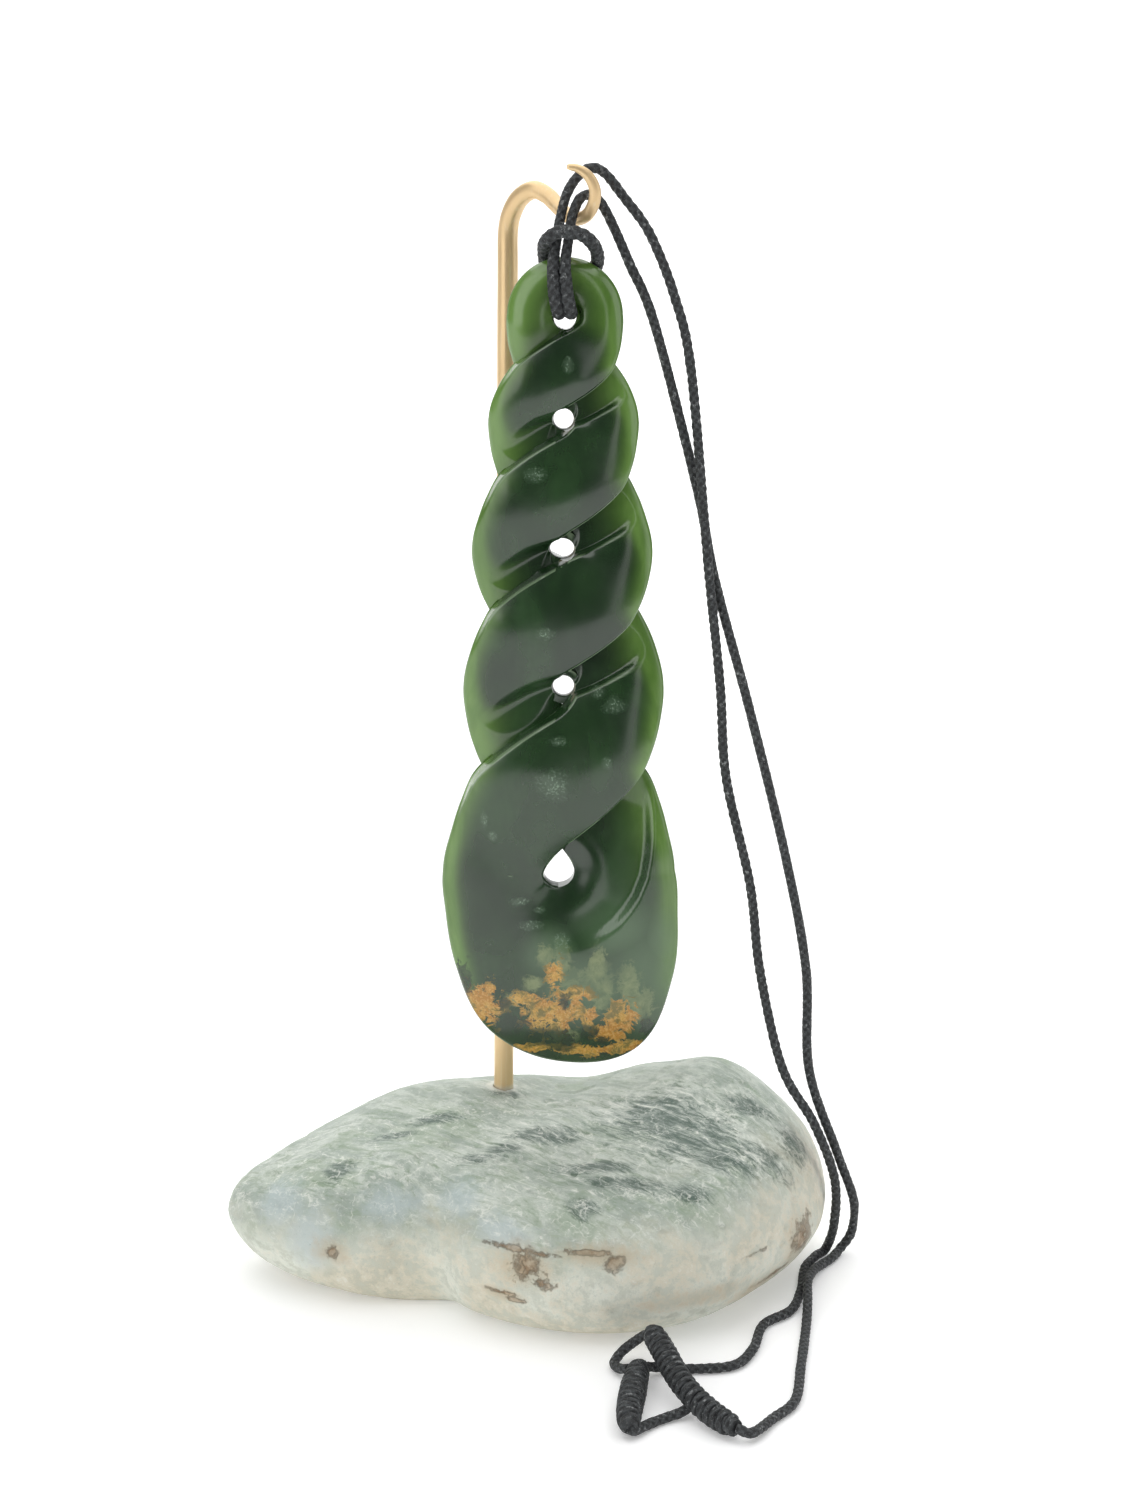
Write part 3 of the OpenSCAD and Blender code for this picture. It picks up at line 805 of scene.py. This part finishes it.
greenSet = {
    # glow and moss are painted glow, light shining through thin stone; edge is a painted highlight along
    # sharp edges
    "deep": (0.008, 0.027, 0.008), "mid": (0.023, 0.064, 0.019), "painted_glow": (0.150, 0.285, 0.060),
    "painted_glow_moss": (0.090, 0.190, 0.030), "edge": (0.240, 0.330, 0.200), "milk": (0.120, 0.210, 0.105),
    "pale": (0.250, 0.300, 0.130), "ochre": (0.560, 0.315, 0.045), "rust": (0.440, 0.195, 0.022),
    "gold": (0.720, 0.460, 0.120), "olive": (0.090, 0.100, 0.020), "speck": (0.300, 0.430, 0.300),
    # light in the stone near its outline: how far in it reaches, where the crown and the foot begin, and
    # how thin the stone is where light comes through the troughs
    "reach": 2.4, "level": 0.3, "crown": 140, "foot": 42, "thin": 1.4, "dishKeep": 6.5,
    # clouds and grains in the stone at its foot, and specks above: x, z, half width and half height
    "grains": [(-6.6, 43.4, 3.0, 3.4), (3.1, 42.3, 4.6, 2.6), (-0.6, 44.8, 2.4, 1.2), (6.9, 45.6, 2.6, 1.2),
               (7.2, 43.4, 1.1, 2.0), (13.9, 41.8, 2.6, 2.6), (12.0, 39.1, 2.6, 1.6), (9.4, 36.2, 5.4, 1.0),
               (15.1, 36.8, 2.4, 1.1), (4.2, 48.6, 1.2, 2.2), (-5.6, 46.1, 1.0, 1.0), (0.8, 36.6, 2.6, 0.8),
               (9.2, 42.0, 1.4, 1.6)],
    "halos": [(2.7, 51.7, 1.3, 1.5), (0.8, 47.2, 1.5, 1.2), (8.0, 47.6, 3.4, 2.0), (15.4, 46.8, 1.5, 3.2),
              (11.2, 45.5, 1.6, 3.0), (10.6, 50.2, 1.3, 2.6), (5.2, 50.4, 1.4, 2.6), (17.0, 43.4, 2.2, 2.4),
              (5.4, 39.0, 2.2, 1.2), (-2.2, 44.6, 1.4, 1.2)],
    "hollows": [(-2.2, 40.6, 2.4, 1.9), (2.9, 38.6, 3.6, 1.3), (5.7, 44.4, 0.8, 1.3), (11.3, 38.0, 1.0, 0.8),
                (17.9, 40.2, 1.0, 1.4), (9.3, 39.2, 1.3, 1.2), (-9.6, 47.4, 1.4, 2.4), (-3.4, 44.2, 0.9, 0.9),
                (5.6, 36.8, 1.2, 0.9)],
    "mists": [(17.6, 47.5, 5.0, 7.0), (20.0, 53.5, 2.4, 4.5), (13.0, 56.0, 5.0, 4.0), (8.5, 46.5, 7.0, 4.5),
              (3.5, 52.0, 3.5, 3.5)],
    "specks": [(3.9, 78.6, 1.7, 1.5), (12.9, 89.8, 1.3, 0.9), (10.4, 91.8, 0.7, 0.7), (2.8, 100.7, 0.9, 0.7),
               (4.6, 84.8, 1.0, 0.5), (11.8, 81.6, 0.6, 0.6), (-1.0, 60.0, 1.1, 0.5), (5.2, 53.6, 0.9, 1.0),
               (1.4, 123.5, 1.1, 0.8), (6.1, 139.1, 0.5, 0.8), (-6.2, 72.8, 0.4, 0.9), (-5.0, 70.2, 0.4, 0.5),
               (0.8, 56.4, 1.1, 0.6), (1.8, 58.6, 0.7, 0.4)],
}


def addPaintedGlow(piece):  # how near the pendant's outline each point lies, 1 at the outline and falling inwards, kept as painted glow: light shining through the thin stone, painted as colour
    sides, step = {}, greenSet["level"] * mm
    for v in piece.data.vertices:
        level = round(v.co.z / step)
        low, high = sides.get(level, (v.co.x, v.co.x))
        sides[level] = (min(low, v.co.x), max(high, v.co.x))
    levels = sorted(sides)
    wider = {n: [sides[m] for m in range(n - 2, n + 3) if m in sides] for n in levels}
    sides = {n: (min(pair[0] for pair in near), max(pair[1] for pair in near)) for n, near in wider.items()}
    outline = []
    for a, b in zip(levels, levels[1:]):
        for side in (0, 1):
            start, end = [Vector((sides[n][side], 0, n * step)) for n in (a, b)]
            count = max(1, round((end - start).length / (0.2 * mm)))
            outline += [start.lerp(end, i / count) for i in range(count)]
    for n in (levels[0], levels[-1]):
        low, high = sides[n]
        outline += [Vector((mix(low, high, i / 20), 0, n * step)) for i in range(21)]
    tree = KDTree(len(outline))
    for i, point in enumerate(outline):
        tree.insert(point, i)
    tree.balance()
    painted_glow = piece.data.attributes.new("painted_glow", "FLOAT", "POINT")
    for i, v in enumerate(piece.data.vertices):
        away = tree.find(Vector((v.co.x, 0, v.co.z)))[2] / mm
        shallow = 1.25 - 0.1 * abs(v.co.y) / mm
        trough = (1 - ease((abs(v.co.y) / mm - greenSet["thin"]) / 1.2)) * ease((abs(v.normal.y) - 0.6) / 0.3)
        foot, crown = ease((v.co.z / mm - greenSet["foot"]) / 10), ease((v.co.z / mm - greenSet["crown"]) / 6)
        near = math.exp(-away / (greenSet["reach"] * (1 + 0.9 * trough))) + 0.25 * crown
        # painted glow: brighter where the stone is thin, near its outline and on right-facing sides, away
        # from the light
        painted_glow.data[i].value = near * shallow * (1 + 0.2 * v.normal.x) * (0.25 + 0.75 * foot)


def addPaintedEdgeHighlight(piece):  # how sharply the surface turns outwards at each point, but for seams and the dish; it sets a painted highlight along the sharp edges
    b = bmesh.new()
    b.from_mesh(piece.data)
    turns = []
    for v in b.verts:
        near = [e.other_vert(v).co for e in v.link_edges]
        lift = (v.co - sum(near, Vector()) / len(near)).dot(v.normal)
        apart = sum(e.calc_length() for e in v.link_edges) / len(near)
        turns.append(min(max(lift / (apart + 0.05 * mm), 0), 0.4))
    seams = [twist["hole"][0] * mm + twist["lobes"][n][0] * scale for n in (0, last)]
    pit = Vector((seams[1], 0, twist["hole"][2] * mm + twist["lobes"][last][1] * scale))
    crisp = piece.data.attributes.new("crisp", "FLOAT", "POINT")
    for v in b.verts:
        x, z = v.co.x, v.co.z
        near = [turns[v.index]] + [turns[e.other_vert(v).index] for e in v.link_edges]
        value = sum(near) / len(near)
        inDish = z < pit.z + mm and math.hypot(x - pit.x, z - pit.z) < greenSet["dishKeep"] * mm
        if inDish or min(abs(x - seam) for seam in seams) < 0.4 * mm:
            value = 0.0
        # the painted edge highlight is weaker on the dish's rim
        dishRim = z < 80 * mm and x > pit.x + 6 * mm
        crisp.data[v.index].value = value * (0.4 if dishRim else 1)
    b.free()


def patches(paint, where, table, soft, wobble):  # 1 inside any of a table's places, given in mm
    share = None
    for row in table:
        x, y, z, wide, deep, high = row if len(row) == 6 else (row[0], -3, row[1], row[2], 14, row[3])
        here = spot(paint, where, (x * mm, y * mm, z * mm), (wide * mm, deep * mm, high * mm), soft, wobble)
        share = here if share is None else paint.sums("MAXIMUM", share, here)
    return share


def paintGreenstone(piece):
    paint = Paint("greenstone")
    make = greenSet
    where = paint.place()
    painted_glow = paint.node("ShaderNodeAttribute", {"attribute_name": "painted_glow"}, output="Fac")
    broad = paint.cloud(where, 45.0, 4.0, 0.55, 0.6)
    fine = paint.cloud(where, 260.0, 5.0, 0.6, 0.4)
    grit = paint.cloud(where, 2600.0, 4.0, 0.75)
    veins = paint.cloud(paint.stretched(where, (1, 1, 0.28), (0, 0.7, 0)), 150.0, 4.0, 0.6, 0.5)
    lace = paint.cloud(where, 520.0, 7.0, 0.74, 0.6)
    # painted glow: brighter yellow-green colour where light would shine through thin stone
    thin = paint.step(painted_glow + (broad - 0.5) * 0.12 + (veins - 0.5) * 0.10, 0.10, 0.80)
    body = paint.blend(paint.step(broad + (veins - 0.5) * 0.5, 0.36, 0.68), make["deep"], make["mid"])
    colour = paint.blend(thin, body, paint.blend(paint.step(veins, 0.35, 0.65), make["painted_glow"], make["painted_glow_moss"]))
    mist = patches(paint, where, make["mists"], 0.7, (broad - 0.5) * 0.8)
    colour = paint.blend(mist * 0.5, colour, make["milk"])
    pale = patches(paint, where, make["halos"], 0.4, (lace - 0.5) * 4.0)
    pale = pale * paint.step(fine + (lace - 0.5) * 0.8, 0.3, 0.65, (0.15, 0.8))
    colour = paint.blend(pale, colour, make["pale"])
    rust = paint.blend(paint.step(fine, 0.4, 0.6), make["ochre"], make["rust"])
    rust = paint.blend(paint.step(grit, 0.45, 0.62) * 0.6, rust, make["gold"])
    rust = paint.blend(paint.step(lace + (fine - 0.5) * 0.6, 0.50, 0.38) * 0.8, rust, make["olive"])
    colour = paint.blend(patches(paint, where, make["grains"], 0.16, (lace - 0.5) * 5.2), colour, rust)
    gap = patches(paint, where, make["hollows"], 0.3, (lace - 0.5) * 5.2)
    colour = paint.blend(gap * paint.step(fine, 0.3, 0.6, (0.5, 0.95)), colour, make["deep"])
    specks = patches(paint, where, make["specks"], 0.9, (fine - 0.5) * 2.2 + (lace - 0.5) * 2.0)
    dust = paint.step(grit + (lace - 0.5) * 0.4, 0.50, 0.66)
    colour = paint.blend(specks * (dust * 0.75 + 0.14), colour, make["speck"])
    crisp = paint.node("ShaderNodeAttribute", {"attribute_name": "crisp"}, output="Fac")
    # painted highlight: pale green along the sharp edges, where they would catch the light
    colour = paint.blend(paint.step(crisp, 0.03, 0.13) * 0.7, colour, make["edge"])
    paint.finish(piece, {"Base Color": colour, "Roughness": paint.step(fine, 0.2, 0.9, (0.17, 0.28)),
                         "IOR": 1.66, "Coat Weight": 0.25, "Coat Roughness": 0.12})


brassSet = {
    "dark": (0.80, 0.56, 0.29), "light": (0.90, 0.68, 0.39), "scratch": (0.93, 0.82, 0.62),
    "dust": (0.75, 0.73, 0.66), "dustTop": 0.0262,
}


def paintBrass(piece):
    paint = Paint("brass")
    make = brassSet
    where = paint.place()
    broad = paint.cloud(where, 90.0, 4.0)
    scratch = paint.cloud(paint.stretched(where, (1, 1, 0.05)), 2200.0, 3.0)
    colour = paint.blend(broad, make["dark"], make["light"])
    colour = paint.blend(paint.step(scratch, 0.52, 0.75) * 0.35, colour, make["scratch"])
    high = axisOf(paint, where, 2) + (broad - 0.5) * 0.002
    dust = paint.step(high, make["dustTop"], make["dustTop"] - 0.8 * mm)
    colour = paint.blend(dust * 0.6, colour, make["dust"])
    paint.finish(piece, {"Base Color": colour, "Metallic": paint.step(broad, 0.3, 0.7, (0.45, 0.6)),
                         "Roughness": paint.step(scratch, 0.2, 0.8, (0.28, 0.45)),
                         "Normal": paint.bump(scratch, 0.03 * mm)})


braidSet = {
    # groove is painted shade in the braid's grooves
    "painted_groove_shade": (0.012, 0.013, 0.014), "crown": (0.056, 0.062, 0.065), "fibre": (0.150, 0.160, 0.165),
    "wax": (0.330, 0.345, 0.345),
}


def paintCord(pieces):
    paint = Paint("cord")
    make = braidSet
    where = paint.place()
    depth = paint.node("ShaderNodeAttribute", {"attribute_name": "depth"}, output="Fac")
    fibre = paint.cloud(where, 3800.0, 3.0, 0.7)
    fleck = paint.cloud(where, 1100.0, 5.0, 0.8)
    broad = paint.cloud(where, 260.0)
    # painted shade: darker colour in the grooves between the yarns
    colour = paint.blend(paint.step(depth + (broad - 0.5) * 0.5, 0.30, 1.0), make["painted_groove_shade"], make["crown"])
    colour = paint.blend(paint.step(fibre, 0.54, 0.68) * 0.5, colour, make["fibre"])
    flecks = paint.step(fleck + (depth - 0.5) * 0.08, 0.57, 0.68)
    colour = paint.blend(flecks * 0.7, colour, make["wax"])
    for piece in pieces:
        paint.finish(piece, {"Base Color": colour, "Roughness": paint.step(fibre, 0.3, 0.8, (0.55, 0.8)),
                             "Normal": paint.bump(fibre + fleck, 0.08 * mm)})


rockSet = {
    "top": (0.360, 0.420, 0.360), "light": (0.580, 0.630, 0.560), "leaf": (0.240, 0.320, 0.210),
    "beige": (0.700, 0.660, 0.530), "chalk": (0.760, 0.790, 0.700), "teal": (0.055, 0.098, 0.080),
    "blue": (0.500, 0.580, 0.580), "brown": (0.260, 0.160, 0.080), "tan": (0.520, 0.420, 0.270),
    "white": (0.860, 0.870, 0.800), "sand": (0.46, 0.47, 0.38), "grit": (0.22, 0.27, 0.23),
    # middle and half size along x, y and z
    "teals": [(19.5, -1.0, 24.8, 7.0, 6.0, 5), (24.5, -5.0, 24.0, 6.5, 6.0, 5),
              (29.0, -10.5, 23.0, 5.0, 3.4, 5), (33.5, 2.3, 25.9, 3.6, 1.8, 5),
              (34.8, -8.4, 22.1, 5.0, 2.6, 5), (-3.3, -8.3, 23.5, 2.4, 1.6, 5),
              (2.7, -4.4, 24.2, 5.0, 2.2, 5), (-28.0, -8.7, 20.3, 2.2, 1.8, 5),
              (-7.0, -11.0, 23.0, 3.4, 1.2, 5), (10.0, -14.0, 22.5, 5.0, 1.6, 5),
              (15.0, -18.5, 22.0, 5.4, 1.6, 4), (23.5, -19.5, 20.5, 3.0, 1.6, 3),
              (40.6, -1.7, 21.0, 2.4, 3.4, 4), (8.4, -24.8, 20.6, 2.0, 1.6, 2.6),
              (-14.0, 2.0, 24.0, 4.0, 1.4, 5), (-20.0, -1.5, 23.0, 3.0, 1.2, 5),
              (-3.8, 9.6, 25.4, 2.2, 1.2, 2)],
    "blues": [(-32.2, -13.8, 10.9, 3.6, 4, 4.4), (-3.6, -24.6, 16.8, 4.6, 4, 2.0),
              (-9.0, -17.5, 19.0, 4.0, 3, 2.4), (-37.0, -9.0, 15.0, 4.0, 4, 3.0),
              (-20.0, -15.0, 17.0, 4.0, 3, 2.4)],
    "browns": [(-2.0, -25.4, 15.0, 4.0, 3, 0.35), (2.4, -27.0, 14.9, 1.6, 3, 0.3),
               (0.2, -27.2, 12.7, 1.6, 3, 1.8), (2.2, -27.6, 10.6, 1.2, 3, 0.7),
               (-3.4, -25.6, 7.9, 1.7, 3, 0.3), (-1.4, -26.2, 7.0, 1.1, 3, 0.3),
               (12.7, -29.6, 14.4, 1.0, 3, 0.9), (9.2, -29.0, 15.8, 2.4, 3, 0.3),
               (-29.0, -14.9, 9.5, 0.7, 3, 0.9), (41.3, -10.9, 9.6, 1.6, 3, 2.6),
               (36.8, -15.0, 6.2, 3.2, 3, 0.4), (33.0, -18.0, 12.0, 1.6, 3, 0.25)],
    "tans": [(0.0, -27.2, 12.6, 4.4, 4, 3.0), (10.5, -29.4, 15.4, 5.0, 4, 1.4),
             (-29.0, -14.9, 9.6, 2.4, 4, 1.8), (40.6, -11.5, 9.6, 3.2, 4, 4.4),
             (34.0, -17.5, 5.4, 7.0, 5, 1.8), (-3.0, -25.6, 7.6, 2.8, 4, 1.0),
             (22.0, -24.0, 8.0, 8.0, 5, 1.6)],
    "bores": [(-4.0, 12, 25.6, 2.4, 2.4, 1.2)],
}


def paintBoulder(piece):
    paint = Paint("boulder")
    make = rockSet
    where = paint.place()
    broad = paint.cloud(where, 60.0, 5.0, 0.6, 0.6)
    fine = paint.cloud(where, 420.0, 7.0, 0.74)
    grit = paint.cloud(where, 1500.0, 5.0, 0.8)
    lie = (0, 0, 0.62)  # turn of the stone's grain
    run = paint.stretched(paint.stretched(where, (1, 1, 1), lie), (0.25, 1, 0.8))
    fibres = paint.cloud(run, 800.0, 8.0, 0.78, 0.9)
    bands = paint.cloud(run, 200.0, 6.0, 0.68, 1.2)
    warped = paint.node("ShaderNodeVectorMath", {"operation": "MULTIPLY_ADD"}, {
        0: paint.node("ShaderNodeTexNoise", {}, {"Vector": where, "Scale": 260.0, "Detail": 5.0}, "Color"),
        1: (0.009, 0.009, 0.009), 2: where})
    cracks = paint.cracks(warped, 130.0)
    hairs = paint.cracks(paint.stretched(paint.stretched(warped, (1, 1, 1), lie), (0.3, 1, 1)), 420.0)
    high = axisOf(paint, where, 2) - axisOf(paint, where, 0) * 0.1
    high = high + (broad - 0.5) * 0.014 + (fibres - 0.5) * 0.008
    upper = paint.step(high, 0.0105, 0.0200)
    rear = paint.step(axisOf(paint, where, 1) + (broad - 0.5) * 0.006, 0.006, 0.011)
    stone = paint.blend(paint.step(bands + (fine - 0.5) * 0.5, 0.38, 0.60), make["top"], make["light"])
    stone = paint.blend(paint.step(broad + (bands - 0.5) * 0.8, 0.50, 0.66) * 0.6, stone, make["leaf"])
    stone = paint.blend(paint.step(fibres, 0.50, 0.38) * (0.7 - rear * 0.3), stone, make["leaf"])
    shore = paint.blend(paint.step(broad + (fine - 0.5) * 0.9, 0.36, 0.62), make["beige"], make["chalk"])
    shore = paint.blend(paint.step(fine, 0.44, 0.58) * 0.5, shore, make["sand"])
    shore = paint.blend(paint.step(fine + (grit - 0.5) * 0.5, 0.44, 0.32) * 0.5, shore, make["white"])
    colour = paint.blend(upper, shore, stone)
    blue = patches(paint, where, make["blues"], 0.7, (fine - 0.5) * 2.4)
    colour = paint.blend(blue * 0.75, colour, make["blue"])
    dark = patches(paint, where, make["teals"], 0.6, (fibres - 0.5) * 2.6 + (fine - 0.5) * 1.4)
    colour = paint.blend(dark * paint.step(fibres, 0.64, 0.40, (0.3, 0.85)), colour, make["teal"])
    flow = paint.step(hairs, 0.06, 0.0) * paint.step(fibres, 0.42, 0.60) * 0.6
    lines = paint.sums("MAXIMUM", paint.step(cracks, 0.03, 0.0) * paint.step(fine, 0.44, 0.58), flow)
    colour = paint.blend(lines * upper * (1 - rear * 0.8) * 0.6, colour, make["white"])
    colour = paint.blend(paint.step(fibres, 0.55, 0.68) * upper * (0.75 - rear * 0.5), colour, make["white"])
    colour = paint.blend(paint.step(grit, 0.58, 0.70) * (0.25 + upper * 0.35), colour, make["white"])
    colour = paint.blend(paint.step(grit, 0.42, 0.30) * 0.35, colour, make["grit"])
    tan = patches(paint, where, make["tans"], 0.7, (fine - 0.5) * 2.6)
    colour = paint.blend(tan * 0.6, colour, make["tan"])
    brown = patches(paint, where, make["browns"], 0.5, (fine - 0.5) * 5.0 + (grit - 0.5) * 3.0)
    colour = paint.blend(brown * paint.step(fine, 0.35, 0.6, (0.35, 0.9)), colour, make["brown"])
    bore = patches(paint, where, make["bores"], 0.25, (fine - 0.5) * 1.2)
    colour = paint.blend(bore * 0.7, colour, make["white"])
    relief = fibres * 0.5 * upper + fine * 0.5 + grit * 0.35 - brown * 0.6
    paint.finish(piece, {"Base Color": colour, "Roughness": paint.step(fine, 0.3, 0.7, (0.42, 0.62)),
                         "Normal": paint.bump(relief, 0.3 * mm)})


addPaintedGlow(pendant)
addPaintedEdgeHighlight(pendant)
paintGreenstone(pendant)
paintBrass(rod)
paintBoulder(boulder)
paintCord(cords)
print("painted")


# floor, backdrop and lights

studio = {
    # name, place, aim, width, height and brightness
    "boxes": [
        ("left", (-0.75, -0.65, 0.45), (0, 0, 0.09), 0.9, 1.1, 1.6),
        ("strip", (0.42, -0.85, 0.40), (0, 0, 0.09), 0.2, 1.2, 1.0),
        ("right", (1.1, -0.1, 0.5), (0, 0, 0.09), 0.8, 1.0, 1.1),
        ("top", (0.0, 0.3, 1.2), (0, 0.3, 0), 1.8, 2.1, 1.6),
        ("back", (0.0, 1.0, 1.5), (0, 2.2, 0.6), 3.0, 1.2, 3.0)],
    "room": 0.08, "front": -0.36, "shine": 0.25,
}


def makeStage():
    sweep = []
    for i in range(41):
        angle = math.radians(90 * i / 40)
        sweep.append((1.6 + 0.8 * math.sin(angle), 0.8 - 0.8 * math.cos(angle)))
    profile = [(studio["front"], 0.0)] + sweep + [(2.4, 2.6)]
    points = [(x, y, z) for y, z in profile for x in (-3.5, 3.5)]
    faces = [(2 * i, 2 * i + 1, 2 * i + 3, 2 * i + 2) for i in range(len(profile) - 1)]
    floor = meshPiece("floor", points, faces)
    for face in floor.data.polygons:
        face.use_smooth = True
    paint = Paint("floor")
    where = paint.place()
    grain = paint.cloud(where, 900.0, 3.0)
    tone = paint.blend(grain, (0.88, 0.88, 0.88), (0.92, 0.92, 0.92))
    paint.finish(floor, {"Base Color": tone, "Roughness": 0.75, "Emission Color": tone,
                         "Emission Strength": studio["shine"]})


def makeLights():
    for name, place, aim, width, height, bright in studio["boxes"]:
        data = bpy.data.lights.new(name, "AREA")
        data.shape, data.size, data.size_y = "RECTANGLE", width, height
        data.energy = bright * math.pi * width * height
        lamp = bpy.data.objects.new(name, data)
        lamp.location = place
        lamp.rotation_euler = (Vector(aim) - Vector(place)).to_track_quat("-Z", "Y").to_euler()
        bpy.context.scene.collection.objects.link(lamp)
    world = bpy.data.worlds.new("room")
    bpy.context.scene.world = world
    world.use_nodes = True
    world.node_tree.nodes["Background"].inputs[0].default_value = (0.95, 0.98, 1.0, 1)
    world.node_tree.nodes["Background"].inputs[1].default_value = studio["room"]
    bpy.context.scene.view_settings.view_transform = "Standard"


makeStage()
makeLights()
